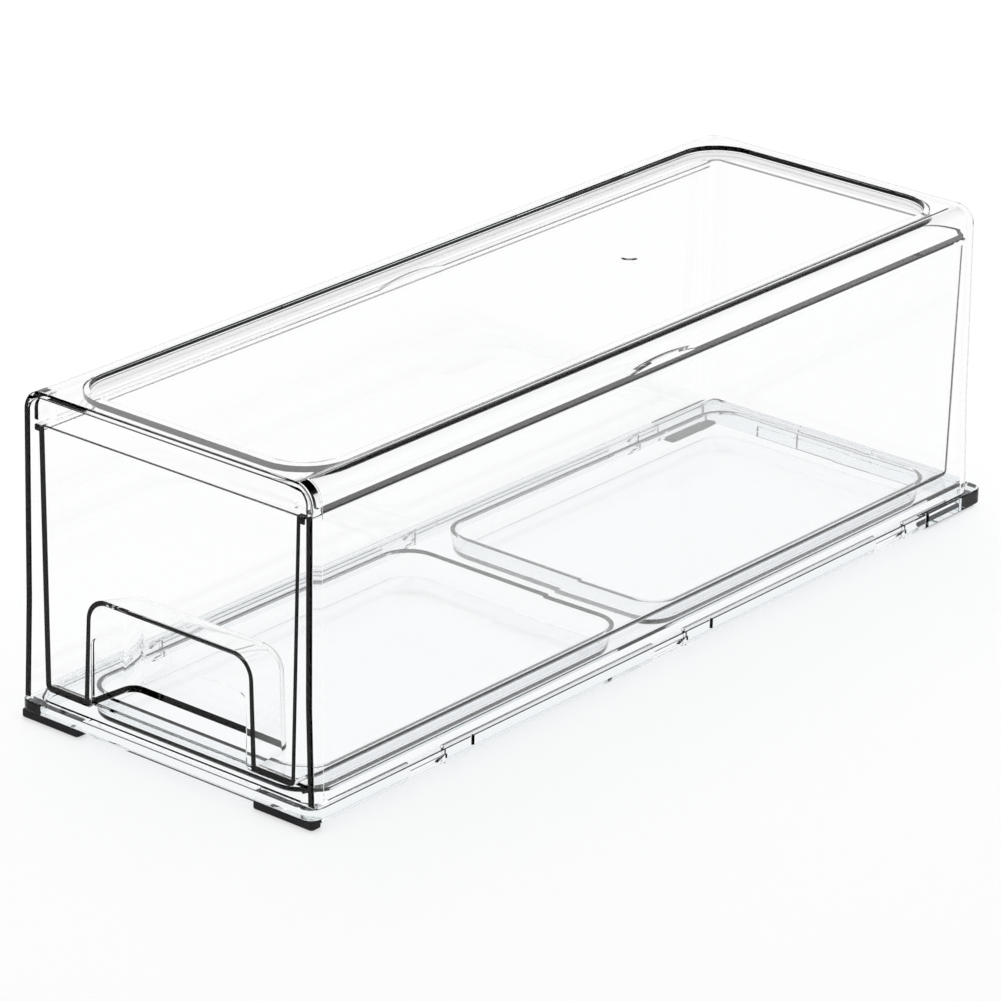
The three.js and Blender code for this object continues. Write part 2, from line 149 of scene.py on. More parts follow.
def add_math(tree, operation, first, second):
    node = tree.nodes.new("ShaderNodeMath")
    node.operation = operation
    for socket, value in zip(node.inputs, (first, second)):
        if isinstance(value, bpy.types.NodeSocket):
            tree.links.new(value, socket)
        else:
            socket.default_value = value
    return node.outputs[0]


def empty_tree(block):
    block.use_nodes = True
    block.node_tree.nodes.clear()
    return block.node_tree


def mix_shaders(tree, share, first, second):
    mix = tree.nodes.new("ShaderNodeMixShader")
    for socket, value in zip(mix.inputs, (share, first, second)):
        tree.links.new(value, socket)
    return mix.outputs[0]


print("node helpers ready")

# %% [markdown]
# ## The room
#
# A bright room with a dark ceiling. The world is a plain even light for everything that it
# lights, pure white where the camera looks at it, and for rays that have gone through or off
# the plastic it is white near the horizon and dark overhead. The dark part is placed by
# direction in the room, so it works the same from every side of the object.

# %% World
AMBIENT_LEVEL = 0.78
WHITE_UP_TO = 0.42      # height of a direction, as the sine of its elevation
DARK_FROM = 0.66
CEILING_LEVEL = 0.02


def make_world():
    world = bpy.data.worlds.new("bright_room")
    scene.world = world
    tree = empty_tree(world)
    direction = tree.nodes.new("ShaderNodeTexCoord").outputs["Generated"]
    height = add_node(tree, "ShaderNodeSeparateXYZ", Vector=direction).outputs["Z"]
    ramp = add_node(tree, "ShaderNodeMapRange", Value=height)
    ramp.interpolation_type = "SMOOTHSTEP"
    ramp.inputs["From Min"].default_value = WHITE_UP_TO
    ramp.inputs["From Max"].default_value = DARK_FROM
    ramp.inputs["To Min"].default_value = 1
    ramp.inputs["To Max"].default_value = CEILING_LEVEL
    room = tree.nodes.new("ShaderNodeBackground")
    tree.links.new(ramp.outputs["Result"], room.inputs["Strength"])
    white = add_node(tree, "ShaderNodeBackground", Strength=1.0)
    ambient = add_node(tree, "ShaderNodeBackground", Strength=AMBIENT_LEVEL)
    for shader in (room, white, ambient):
        shader.inputs["Color"].default_value = (1, 1, 1, 1)
    path = tree.nodes.new("ShaderNodeLightPath").outputs
    through = add_math(tree, "ADD", path["Is Glossy Ray"], path["Is Transmission Ray"])
    unseen = mix_shaders(tree, through, ambient.outputs[0], room.outputs[0])
    seen = mix_shaders(tree, path["Is Camera Ray"], unseen, white.outputs[0])
    add_node(tree, "ShaderNodeOutputWorld", Surface=seen)


make_world()
print("dark above", round(math.degrees(math.asin(DARK_FROM))), "degrees")

# %% [markdown]
# The floor is a wide sheet that takes the object's soft shadow. The camera, and every ray that
# has gone through or off the plastic, also see it glow with a white of its own, picked out by
# the Light Path node, so that it meets the white behind it without a line.

# %% Floor
FLOOR_HALF = 4.0
FLOOR_TILES = 4
FLOOR_DROP = 0.2 * MM
FLOOR_WHITE_SHARE = 0.55
FLOOR_COLOUR = (0.95, 0.953, 0.957, 1)


def make_floor():
    bm = bmesh.new()
    bmesh.ops.create_grid(bm, x_segments=FLOOR_TILES, y_segments=FLOOR_TILES, size=FLOOR_HALF)
    bmesh.ops.translate(bm, verts=bm.verts, vec=(0, 0, -FLOOR_DROP))
    mesh = bpy.data.meshes.new("floor")
    bm.to_mesh(mesh)
    bm.free()
    floor = bpy.data.objects.new("floor", mesh)
    scene.collection.objects.link(floor)
    material = bpy.data.materials.new("floor_white")
    tree = empty_tree(material)
    paper = add_node(tree, "ShaderNodeBsdfDiffuse", Color=FLOOR_COLOUR)
    white = add_node(tree, "ShaderNodeEmission", Color=(1, 1, 1, 1), Strength=1.0)
    path = tree.nodes.new("ShaderNodeLightPath").outputs
    through = add_math(tree, "ADD", path["Is Glossy Ray"], path["Is Transmission Ray"])
    seen = add_math(tree, "ADD", through, path["Is Camera Ray"])
    share = add_math(tree, "MULTIPLY", seen, FLOOR_WHITE_SHARE)
    surface = mix_shaders(tree, share, paper.outputs[0], white.outputs[0])
    add_node(tree, "ShaderNodeOutputMaterial", Surface=surface)
    mesh.materials.append(material)
    return floor


floor = make_floor()
print("floor", floor.name)

# %% [markdown]
# One large soft lamp stands high at the left and behind, and lays the faint shadow to the
# right of the object, as in the photograph.

# %% Lamp
LAMP_PLACE = Vector((-0.7, 0.5, 1.3))
LAMP_SIZE = 0.9
LAMP_POWER = 9.0


def make_lamp():
    light = bpy.data.lights.new("soft_lamp", "AREA")
    light.energy = LAMP_POWER
    light.size = LAMP_SIZE
    lamp = bpy.data.objects.new("soft_lamp", light)
    lamp.location = LAMP_PLACE
    lamp.rotation_euler = (-LAMP_PLACE).to_track_quat("-Z", "Y").to_euler()
    scene.collection.objects.link(lamp)


make_lamp()
print("lamp at", [round(v, 2) for v in LAMP_PLACE], "m")

# %% [markdown]
# ## Modelling helpers
#
# The mouldings are modelled as a toolmaker cuts a mould: rounded bodies are stacked up from
# level outlines, and then joined and cut. An outline is a rectangle with round corners. A body
# is a run of outlines at rising heights, so drafts, rounded edges and fillets are all written
# in one list of heights.

# %% Outlines
ARC_STEPS = 8


def quarter(start):
    """The angles of a quarter round, counter-clockwise."""
    return [start + step / ARC_STEPS * math.pi / 2 for step in range(ARC_STEPS + 1)]


def level(half, front, rear, front_corner, rear_corner, z):
    """A level outline, counter-clockwise from above."""
    corners = (
        (-half, front, front_corner, math.pi),
        (half, front, front_corner, math.pi * 1.5),
        (half, rear, rear_corner, 0),
        (-half, rear, rear_corner, math.pi / 2),
    )
    points = []
    for x, y, radius, turn in corners:
        if radius <= 0:
            points.append(Vector((x, y, z)))
            continue
        centre_x = x - math.copysign(radius, x)
        centre_y = y + (radius if y == front else -radius)
        for angle in quarter(turn):
            point_x = centre_x + radius * math.cos(angle)
            point_y = centre_y + radius * math.sin(angle)
            points.append(Vector((point_x, point_y, z)))
    return points


print(len(level(2, -1, 1, 0.5, 0.5, 0)), "points in a round-cornered outline")


# %% Bodies
def as_object(name, bm):
    bmesh.ops.recalc_face_normals(bm, faces=bm.faces)
    mesh = bpy.data.meshes.new(name)
    bm.to_mesh(mesh)
    bm.free()
    body = bpy.data.objects.new(name, mesh)
    scene.collection.objects.link(body)
    return body


def loft(name, rings):
    """A closed body over a run of outlines with equal numbers of points."""
    bm = bmesh.new()
    rows = [[bm.verts.new(point) for point in ring] for ring in rings]
    for low, high in zip(rows, rows[1:]):
        for index in range(len(low)):
            after = (index + 1) % len(low)
            bm.faces.new((low[index], low[after], high[after], high[index]))
    bm.faces.new(tuple(reversed(rows[0])))
    bm.faces.new(rows[-1])
    return as_object(name, bm)


def block(name, low, high):
    """A box between two corners."""
    outline = [(low[0], low[1]), (high[0], low[1]), (high[0], high[1]), (low[0], high[1])]
    return loft(name, [[Vector((x, y, z)) for x, y in outline] for z in (low[2], high[2])])


def prism(name, outline, shift):
    """An outline pushed along a vector."""
    return loft(name, [outline, [point + shift for point in outline]])


print("body helpers ready")

# %% [markdown]
# Joining and cutting uses Blender's Boolean modifier with its exact solver, and the result is
# written back to the mesh at once. The cutting bodies are thrown away after use.


# %% Join and cut
def combine(body, operation, *tools):
    for tool in tools:
        step = body.modifiers.new(operation.lower(), "BOOLEAN")
        step.operation = operation
        step.solver = "EXACT"
        step.object = tool
        graph = bpy.context.evaluated_depsgraph_get()
        mesh = bpy.data.meshes.new_from_object(body.evaluated_get(graph), depsgraph=graph)
        body.modifiers.clear()
        old = body.data
        body.data = mesh
        bpy.data.meshes.remove(old)
        bpy.data.objects.remove(tool)
    return body


def join(body, *tools):
    return combine(body, "UNION", *tools)


def cut(body, *tools):
    return combine(body, "DIFFERENCE", *tools)


print("join and cut ready")

# %% [markdown]
# The small radii round the front of a moulding come from a bevel, which takes only the sharp
# edges that lie in the front plane. Afterwards the piece is shaded smooth with weighted normals,
# and its sharp edges are marked as sharp. Large faces then stay truly flat and only the radii
# turn, which matters because a bent normal would bend everything seen through the face.

# %% Round edges and finish
SHARP = math.radians(40)
EDGE_STEPS = 3
PLANE_SLACK = 0.01 * MM
CUBIC_CM = (10 * MM) ** 3


def round_front(body, radius, front):
    """Round the sharp edges that lie in the front plane."""
    bm = bmesh.new()
    bm.from_mesh(body.data)
    picked = [
        edge for edge in bm.edges
        if len(edge.link_faces) == 2 and edge.calc_face_angle(0) > SHARP
        and all(abs(vert.co.y - front) < PLANE_SLACK for vert in edge.verts)
    ]
    bmesh.ops.bevel(
        bm, geom=picked, offset=radius, offset_type="OFFSET", segments=EDGE_STEPS, profile=0.5,
        affect="EDGES", clamp_overlap=False, loop_slide=True,
    )
    bm.to_mesh(body.data)
    bm.free()
    return len(picked)


def finish_piece(body, name, nodes, owner, material):
    body.name = name
    body.data.name = name
    for face in body.data.polygons:
        face.use_smooth = True
    body.data.set_sharp_from_angle(angle=SHARP)
    normals = body.modifiers.new("flat_faces", "WEIGHTED_NORMAL")
    normals.keep_sharp = True
    body.data.materials.clear()
    body.data.materials.append(material)
    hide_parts(*nodes)
    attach(body, owner)
    return body


def measure(body):
    """Print the piece's faces and volume, and whether it is closed."""
    bm = bmesh.new()
    bm.from_mesh(body.data)
    open_edges = sum(1 for edge in bm.edges if not edge.is_manifold)
    volume = round(bm.calc_volume() / CUBIC_CM, 2)
    print(body.name, len(bm.faces), "faces,", open_edges, "open edges,", volume, "cm3")
    bm.free()


def measure_node(name):
    """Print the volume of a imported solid, to set beside the dressed piece's."""
    bm = bmesh.new()
    bm.from_mesh(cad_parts[name].data)
    print(name, "in the frame:", round(bm.calc_volume() / CUBIC_CM, 2), "cm3")
    bm.free()


print("edge helpers ready")

# %% [markdown]
# ## Clear plastic
#
# The case, the tray and the drawer are moulded in a clear styrene-like plastic. It bends light
# with an index of 1.5, it is polished to a near mirror, and it takes away a little light in its
# depth. Its reflections are painted dim, at a quarter of their true strength, as painted shade in
# place of a dim studio front, so the lines stay black. Three small things keep it from looking
# like a computer's glass: the flat faces are a touch wavy where the moulding sank as it cooled,
# handling leaves a barely frosted bloom here and there, and long paths inside a wall turn
# faintly blue-grey. The tray's plastic is a little greyer than the other two.
#
# A lamp's shadow through real glass would be black in a renderer that can't follow every
# focused ray. So a Light Path node swaps the plastic for a plain, slightly tinted transparent
# shader on the way from the floor to the lamp, and the shadow stays pale.

# %% Clear plastic
PLASTIC_IOR = 1.5
SINK_SIZE = 9.0            # waves per metre in the moulded faces
SINK_DETAIL = 1.0
SINK_DEPTH = 0.05 * MM
BLOOM_SIZE = 60.0
BLOOM_DETAIL = 3.0
BLOOM_FROM = 0.5           # the noise value where the bloom starts
BLOOM_FULL = 0.8
BLOOM_LOW = 0.0            # roughness of the clean plastic, and of the full bloom
BLOOM_HIGH = 0.035
# Painted shade on the reflections: a grey specular tint cuts them to a quarter, in place of a dim
# room in front
PAINTED_DIM_REFLECTION = (0.25, 0.25, 0.25, 1)


def clear_plastic(name, surface_tint, shadow_tint, depth_tint, depth_density):
    material = bpy.data.materials.new(name)
    tree = empty_tree(material)
    place = tree.nodes.new("ShaderNodeTexCoord").outputs["Object"]
    sink = add_node(
        tree, "ShaderNodeTexNoise", Vector=place, Scale=SINK_SIZE, Detail=SINK_DETAIL,
    )
    wavy = add_node(
        tree, "ShaderNodeBump", Height=sink.outputs["Fac"], Strength=1.0, Distance=SINK_DEPTH,
    )
    bloom = add_node(
        tree, "ShaderNodeTexNoise", Vector=place, Scale=BLOOM_SIZE, Detail=BLOOM_DETAIL,
    )
    frosted = add_node(tree, "ShaderNodeMapRange", Value=bloom.outputs["Fac"])
    frosted.inputs["From Min"].default_value = BLOOM_FROM
    frosted.inputs["From Max"].default_value = BLOOM_FULL
    frosted.inputs["To Min"].default_value = BLOOM_LOW
    frosted.inputs["To Max"].default_value = BLOOM_HIGH
    plastic = add_node(
        tree, "ShaderNodeBsdfPrincipled",
        Base_Color=(*surface_tint, 1), IOR=PLASTIC_IOR, Roughness=frosted.outputs["Result"],
        Transmission_Weight=1.0, Normal=wavy.outputs["Normal"], Specular_Tint=PAINTED_DIM_REFLECTION,
    )
    pale = add_node(tree, "ShaderNodeBsdfTransparent", Color=(*shadow_tint, 1))
    depth = add_node(
        tree, "ShaderNodeVolumeAbsorption", Color=(*depth_tint, 1), Density=depth_density,
    )
    path = tree.nodes.new("ShaderNodeLightPath").outputs
    lighting = add_math(tree, "MAXIMUM", path["Is Shadow Ray"], path["Is Diffuse Ray"])
    surface = mix_shaders(tree, lighting, plastic.outputs[0], pale.outputs[0])
    add_node(tree, "ShaderNodeOutputMaterial", Surface=surface, Volume=depth.outputs[0])
    return material


print("clear plastic ready")

# %% Three clear plastics
# The tints of the surface, the shadow and the depth, and how strongly the depth takes light
COLOURLESS = ((1, 1, 1), (0.965, 0.968, 0.97), (0.72, 0.79, 0.83), 6.0)
FAINT_GREY = ((0.98, 0.986, 0.99), (0.945, 0.952, 0.957), (0.62, 0.7, 0.75), 40.0)

case_plastic = clear_plastic("clear_case_plastic", *COLOURLESS)
base_plastic = clear_plastic("clear_base_plastic", *FAINT_GREY)
drawer_plastic = clear_plastic("clear_drawer_plastic", *COLOURLESS)
print("three clear plastics")

# %% [markdown]
# ## Black rubber
#
# The pads are dull black rubber. A fine grain breaks their surface and a slow change of tone
# keeps them from being one flat black.

# %% Rubber
RUBBER_GRAIN = 2600.0
RUBBER_GRAIN_DEPTH = 0.06 * MM
RUBBER_GRAIN_STRENGTH = 0.6
RUBBER_CLOUD = 90.0
RUBBER_DETAIL = 2.0
RUBBER_TONES = ((0.35, (0.009, 0.0095, 0.0105, 1)), (0.7, (0.018, 0.0185, 0.02, 1)))
RUBBER_ROUGHNESS = 0.62
RUBBER_GLOSS = 0.15


def black_rubber():
    material = bpy.data.materials.new("black_rubber")
    tree = empty_tree(material)
    place = tree.nodes.new("ShaderNodeTexCoord").outputs["Object"]
    grain = add_node(
        tree, "ShaderNodeTexNoise", Vector=place, Scale=RUBBER_GRAIN, Detail=RUBBER_DETAIL,
    )
    rough = add_node(
        tree, "ShaderNodeBump",
        Height=grain.outputs["Fac"], Strength=RUBBER_GRAIN_STRENGTH, Distance=RUBBER_GRAIN_DEPTH,
    )
    cloud = add_node(
        tree, "ShaderNodeTexNoise", Vector=place, Scale=RUBBER_CLOUD, Detail=RUBBER_DETAIL,
    )
    tone = tree.nodes.new("ShaderNodeValToRGB")
    tree.links.new(cloud.outputs["Fac"], tone.inputs["Fac"])
    for stop, (position, colour) in zip(tone.color_ramp.elements, RUBBER_TONES):
        stop.position = position
        stop.color = colour
    rubber = add_node(
        tree, "ShaderNodeBsdfPrincipled",
        Base_Color=tone.outputs["Color"], Roughness=RUBBER_ROUGHNESS,
        Normal=rough.outputs["Normal"], Specular_IOR_Level=RUBBER_GLOSS,
    )
    add_node(tree, "ShaderNodeOutputMaterial", Surface=rubber.outputs[0])
    return material


rubber = black_rubber()
print("rubber", rubber.name)

# %% [markdown]
# ## Sizes from the frame
#
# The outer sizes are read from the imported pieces, so the mouldings below fill the same space.
# The walls and radii are this lesson's own values: they are the sizes that a moulding of this
# kind has, and the photograph shows them in the width of its dark lines.

# %% Sizes
base_low, base_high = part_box("base_tray")
case_low, case_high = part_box("case_shell")
drawer_low, drawer_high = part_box("sliding_drawer")

OVERRUN = 8 * MM
FUSE = 0.5 * MM

BASE_HALF = base_high.x
BASE_FRONT = base_low.y
BASE_REAR = base_high.y
DECK_TOP = base_high.z
CASE_FRONT = case_low.y
CASE_FOOT_REAR = case_high.y
CASE_TOP = case_high.z
CASE_FOOT = 6.5 * MM
CASE_WALL = 2 * MM
CASE_REAR_WALL = 2 * MM
CASE_TOP_WALL = 2 * MM
CASE_FOOT_HALF = BASE_HALF - 1.3 * MM
CASE_WAIST = CASE_TOP - 66.5 * MM
CASE_WAIST_HALF = CASE_FOOT_HALF - 1.1 * MM
CASE_TOP_HALF = CASE_WAIST_HALF - 0.4 * MM
CASE_REAR_DRAFT = 1.6 * MM
CASE_TOP_REAR = CASE_FOOT_REAR - CASE_REAR_DRAFT
CASE_CEILING = CASE_TOP - CASE_TOP_WALL
print("case", round(2 * CASE_FOOT_HALF / MM, 1), "mm wide at the foot")
print("case", round(CASE_TOP / MM, 1), "mm high")

# %% [markdown]
# A round edge on a lofted body is a few more outlines in the list. These helpers give their
# heights and how far they grow, for a fillet at the bottom of a cut, for a rounded brim at its
# top, and for the round top of a solid body. The fillet's numbers also round a body's foot.


# %% Edge profiles
def fillet_steps(z, radius):
    """Heights and growths that curve from a floor at z up into an upright wall."""
    return [(z + radius * (1 - math.cos(a)), -radius * (1 - math.sin(a))) for a in quarter(0)]


def brim_steps(z, radius):
    """Heights and growths that curve from an upright wall out onto a face at z."""
    return [(z - radius * (1 - math.sin(a)), radius * (1 - math.cos(a))) for a in quarter(0)]


def crown_steps(z, radius):
    """Heights and growths that curve from an upright wall in over the top of a body at z."""
    return [(height, -growth) for height, growth in brim_steps(z, radius)]


print(len(fillet_steps(0, 1)), "outlines in a rounded edge")

# %% [markdown]
# ## The case
#
# The real case is one moulding: a long hood, open at the front and at the bottom. Its sides
# lean in a little towards the top, so that it leaves the mould, and flare out at the foot. The
# front ends in a slightly thicker band. The top is sunk inside a raised rim, and the sunk plate
# stands 2 mm under the ceiling.
#
# It could be extruded from a section, but then the round rear corners would be missing. So it
# is lofted upwards, once for the outside and once for the inside, and the inside is cut away.

# %% Case skin
CASE_EDGE = 6.5 * MM
CASE_CORNER = 7.5 * MM


def case_half(z):
    """Half the case's width at height z."""
    if z < CASE_WAIST:
        flare = CASE_FOOT_HALF - CASE_WAIST_HALF
        return CASE_WAIST_HALF + flare * (CASE_WAIST - z) / (CASE_WAIST - CASE_FOOT)
    lean = CASE_WAIST_HALF - CASE_TOP_HALF
    return CASE_WAIST_HALF - lean * (z - CASE_WAIST) / (CASE_TOP - CASE_WAIST)


def case_rear(z):
    return CASE_FOOT_REAR - CASE_REAR_DRAFT * (z - CASE_FOOT) / (CASE_TOP - CASE_FOOT)


def case_body(name, side, back, front, foot, ceiling, edge, corner):
    """The case's skin, moved in by its walls, with a rounded top edge."""
    def ring(z, growth):
        half = case_half(z) - side + growth
        rear = case_rear(z) - back + growth
        return level(half, front, rear, 0, corner + growth, z)

    steps = [(foot, 0), (CASE_WAIST, 0)] + crown_steps(ceiling, edge)
    return loft(name, [ring(z, growth) for z, growth in steps])


case = case_body("case_skin", 0, 0, CASE_FRONT, CASE_FOOT, CASE_TOP, CASE_EDGE, CASE_CORNER)
print("case skin lofted")

# %% Case band and inside
BAND_DEPTH = 4.5 * MM
BAND_PROUD = 0.4 * MM

band = case_body("band", -BAND_PROUD, 0, CASE_FRONT, CASE_FOOT, CASE_TOP, CASE_EDGE, CASE_CORNER)
behind_band = block(
    "behind_band",
    (-BASE_HALF - OVERRUN, CASE_FRONT + BAND_DEPTH, -OVERRUN),
    (BASE_HALF + OVERRUN, BASE_REAR + OVERRUN, CASE_TOP + OVERRUN),
)
join(case, cut(band, behind_band))
inside = case_body(
    "inside", CASE_WALL, CASE_REAR_WALL, CASE_FRONT - OVERRUN, CASE_FOOT - OVERRUN, CASE_CEILING,
    CASE_EDGE - CASE_WALL, CASE_CORNER - CASE_REAR_WALL,
)
cut(case, inside)
print("case hollowed, walls", round(CASE_WALL / MM, 1), "mm")

# %% [markdown]
# The sunk top plate is added under the ceiling and the recess is cut into it. Its brim and its
# foot are barely rounded, so the step between them shows as one clear line.

# %% Case recess
RECESS_DEPTH = 2 * MM
RECESS_CORNER = 14 * MM
RECESS_HALF = CASE_TOP_HALF - 9.2 * MM
RECESS_FRONT = CASE_FRONT + 9 * MM
RECESS_REAR = CASE_TOP_REAR - 10.4 * MM
RECESS_BRIM = 0.35 * MM
RECESS_FILLET = 0.35 * MM
PLATE_EDGE = 0.4 * MM


def grown(half, front, rear, corner, z, growth):
    """A level outline with four equal corners, moved out by the growth."""
    corner += growth
    return level(half + growth, front - growth, rear + growth, corner, corner, z)


def recess_ring(z, growth):
    return grown(RECESS_HALF, RECESS_FRONT, RECESS_REAR, RECESS_CORNER, z, growth)


plate_foot = CASE_CEILING - RECESS_DEPTH
recess_floor = CASE_TOP - RECESS_DEPTH
plate_steps = fillet_steps(plate_foot, PLATE_EDGE) + [(CASE_TOP - CASE_TOP_WALL / 2, 0)]
plate = loft("plate", [recess_ring(z, growth + CASE_TOP_WALL) for z, growth in plate_steps])
recess_steps = fillet_steps(recess_floor, RECESS_FILLET) + brim_steps(CASE_TOP, RECESS_BRIM)
recess_steps.append((CASE_TOP + OVERRUN, RECESS_BRIM))
recess = loft("recess", [recess_ring(z, growth) for z, growth in recess_steps])
join(case, plate)
cut(case, recess)
print("recess", round(2 * RECESS_HALF / MM), "by", round((RECESS_REAR - RECESS_FRONT) / MM), "mm")

# %% [markdown]
# Each moulding has a small round mark where the plastic was let into the mould: a low pip on
# the case's top, and a shallow dish in the drawer's floor and in the tray's deck. The pip's
# wall leans in, and bends the dark ceiling into view as a thin crescent on its near side.

# %% Gate marks
GATE_RADIUS = 3.75 * MM
GATE_DEPTH = 0.3 * MM
GATE_SLOPE = 1.4 * MM
PIP_HEIGHT = 0.4 * MM
PIP_SLOPE = 0.5 * MM
GATE_POINTS = 48
CASE_GATE_Y = 47 * MM


def circle(radius, x, y, z, count):
    """A level circle of so many points."""
    turns = [2 * math.pi * step / count for step in range(count)]
    return [Vector((x + radius * math.cos(t), y + radius * math.sin(t), z)) for t in turns]


def gate_body(name, y, rings):
    """A small round body on the middle line, over radii at rising heights."""
    return loft(name, [circle(radius, 0, y, z, GATE_POINTS) for radius, z in rings])


def gate_dish(y, z):
    """A shallow dish with a leaning wall, to cut into a face at z."""
    floor_radius = GATE_RADIUS - GATE_SLOPE
    rings = [(floor_radius, z - GATE_DEPTH), (GATE_RADIUS, z), (GATE_RADIUS, z + GATE_DEPTH)]
    return gate_body("gate_dish", y, rings)


def gate_pip(y, z):
    """A low pip with a leaning wall, to set on a face at z."""
    rings = [(GATE_RADIUS, z - FUSE), (GATE_RADIUS, z), (GATE_RADIUS - PIP_SLOPE, z + PIP_HEIGHT)]
    return gate_body("gate_pip", y, rings)


join(case, gate_pip(CASE_GATE_Y, recess_floor))
print("gate mark", round(2 * GATE_RADIUS / MM, 1), "mm across")

# %% [markdown]
# The case holds to the tray by tabs under its walls: three on each side, with a small wedge
# that snaps into a window of the tray, and one wide tab at the rear. Two stops under the front
# corners of the ceiling keep the drawer from being pulled right out.

# %% Clips and stops
CLIP_PITCH = 113 * MM
CLIP_LENGTH = 16 * MM
CLIP_THICKNESS = 1.8 * MM
CLIP_LIFT = case_low.z
CLIP_SEAT = 0.1 * MM
CLIP_PLAY = 0.3 * MM
REAR_CLIP_LENGTH = 30 * MM
WEDGE_LENGTH = 3.5 * MM
WEDGE_HALF_HEIGHT = 1.4 * MM
WEDGE_PROUD = 1.1 * MM
WEDGE_MIDDLE = 2.6 * MM
CLIP_INNER = CASE_FOOT_HALF - CASE_WALL
CLIP_OUTER = CLIP_INNER + CLIP_THICKNESS
STOP_WIDTH = 6 * MM
STOP_DEPTH = 3 * MM
STOP_INSET = 2 * MM
STOP_FOOT = 94.6 * MM


def mirrored(side, low, high):
    """A box's corners on the right or the left."""
    if side > 0:
        return low, high
    return (-high[0], low[1], low[2]), (-low[0], high[1], high[2])


def clip_places():
    return [(side, step * CLIP_PITCH) for side in (-1, 1) for step in (-1, 0, 1)]


def clip_tab(side, y):
    half = CLIP_LENGTH / 2 - CLIP_PLAY
    low = (CLIP_INNER + CLIP_SEAT, y - half, CLIP_LIFT)
    high = (CLIP_OUTER, y + half, CASE_FOOT + FUSE)
    return block("tab", *mirrored(side, low, high))


def clip_wedge(side, y):
    rear = y + CLIP_LENGTH / 2 - CLIP_PLAY - CLIP_SEAT
    x = side * (CLIP_OUTER - FUSE)
    outline = [
        Vector((x, rear, WEDGE_MIDDLE + WEDGE_HALF_HEIGHT)),
        Vector((x, rear - WEDGE_LENGTH, WEDGE_MIDDLE)),
        Vector((x, rear, WEDGE_MIDDLE - WEDGE_HALF_HEIGHT)),
    ]
    return prism("wedge", outline, Vector((side * (FUSE + WEDGE_PROUD), 0, 0)))


def drawer_stop(side):
    """A stop under the ceiling, kept inside the case's skin where the top edge is round."""
    half = CASE_TOP_HALF - CASE_WALL
    low = (half - STOP_WIDTH, CASE_FRONT + STOP_INSET, STOP_FOOT)
    high = (half + FUSE, CASE_FRONT + STOP_INSET + STOP_DEPTH, CASE_CEILING + FUSE)
    limit = case_body(
        "limit", FUSE, FUSE, CASE_FRONT, CASE_FOOT, CASE_TOP - FUSE,
        CASE_EDGE - FUSE, CASE_CORNER - FUSE,
    )
    return combine(block("stop", *mirrored(side, low, high)), "INTERSECT", limit)


for side, y in clip_places():
    join(case, clip_tab(side, y))
    join(case, clip_wedge(side, y))
rear_inner = CASE_FOOT_REAR - CASE_REAR_WALL
rear_half = REAR_CLIP_LENGTH / 2 - CLIP_PLAY
join(case, block(
    "rear_tab", (-rear_half, rear_inner + CLIP_SEAT, CLIP_LIFT),
    (rear_half, rear_inner + CLIP_THICKNESS, CASE_FOOT + FUSE),
))
for side in (-1, 1):
    join(case, drawer_stop(side))
print(len(clip_places()) + 1, "clips and 2 stops")

# %% Case edges
FRONT_RADIUS = 0.5 * MM

rounded = round_front(case, FRONT_RADIUS, CASE_FRONT)
print(rounded, "front edges rounded")
finish_piece(case, "clear_case", ["case_shell"], "case", case_plastic)
measure(case)
measure_node("case_shell")

# %% [markdown]
# ## The drawer
#
# The drawer is a long bin with a thin front panel. Its sides carry flanges along the rim, each
# with a low narrow bump that meets the stop. A finger pocket is moulded into the foot of the
# front: an arched hood inside the bin, with an opening under the panel's lower edge.
#
# The outside and the inside are lofted upwards from the foot, with the fillets in the lists of
# heights, and the flange is a rounded section pushed from front to rear.

# %% Drawer bin
DRAWER_FRONT = drawer_low.y
DRAWER_REAR = drawer_high.y
DRAWER_FOOT = drawer_low.z
FLANGE_HALF = drawer_high.x
BUMP_HEIGHT = 1.6 * MM
DRAWER_TOP = drawer_high.z - BUMP_HEIGHT
DRAWER_WALL = 1.8 * MM
DRAWER_FRONT_WALL = 1.2 * MM
DRAWER_CORNER = 4 * MM
DRAWER_DRAFT = 1.5 * MM
FLANGE_PROUD = 1.7 * MM
FLANGE_THICKNESS = 2.2 * MM
DRAWER_TOP_HALF = FLANGE_HALF - FLANGE_PROUD
DRAWER_FLOOR = DRAWER_FOOT + DRAWER_WALL
FOOT_ROUND = 2.4 * MM
FLOOR_FILLET = 0.6 * MM
RIM_ROUND = 0.35 * MM


def drawer_half(z):
    return DRAWER_TOP_HALF - DRAWER_DRAFT * (DRAWER_TOP - z) / (DRAWER_TOP - DRAWER_FOOT)


def drawer_ring(z, growth):
    corner = DRAWER_CORNER + growth
    return level(drawer_half(z) + growth, DRAWER_FRONT, DRAWER_REAR + growth, 0, corner, z)


def bin_ring(z, growth):
    inset = DRAWER_WALL - growth
    corner = DRAWER_CORNER - inset
    front = DRAWER_FRONT + DRAWER_FRONT_WALL - growth
    return level(drawer_half(z) - inset, front, DRAWER_REAR - inset, 0, corner, z)


outer_steps = fillet_steps(DRAWER_FOOT, FOOT_ROUND) + crown_steps(DRAWER_TOP, RIM_ROUND)
drawer = loft("drawer", [drawer_ring(z, growth) for z, growth in outer_steps])
bin_steps = fillet_steps(DRAWER_FLOOR, FLOOR_FILLET) + brim_steps(DRAWER_TOP, RIM_ROUND)
bin_steps.append((DRAWER_TOP + OVERRUN, RIM_ROUND))
bin_inside = loft("bin_inside", [bin_ring(z, growth) for z, growth in bin_steps])
print("bin", round((DRAWER_REAR - DRAWER_FRONT) / MM, 1), "mm long")

# %% Drawer rim
FLANGE_TOP_ROUND = 0.8 * MM
FLANGE_FOOT_ROUND = 0.6 * MM


def both_halves(right):
    """The right half of an outline, and then its mirror image on the left."""
    return right + [Vector((-point.x, point.y, point.z)) for point in reversed(right)]


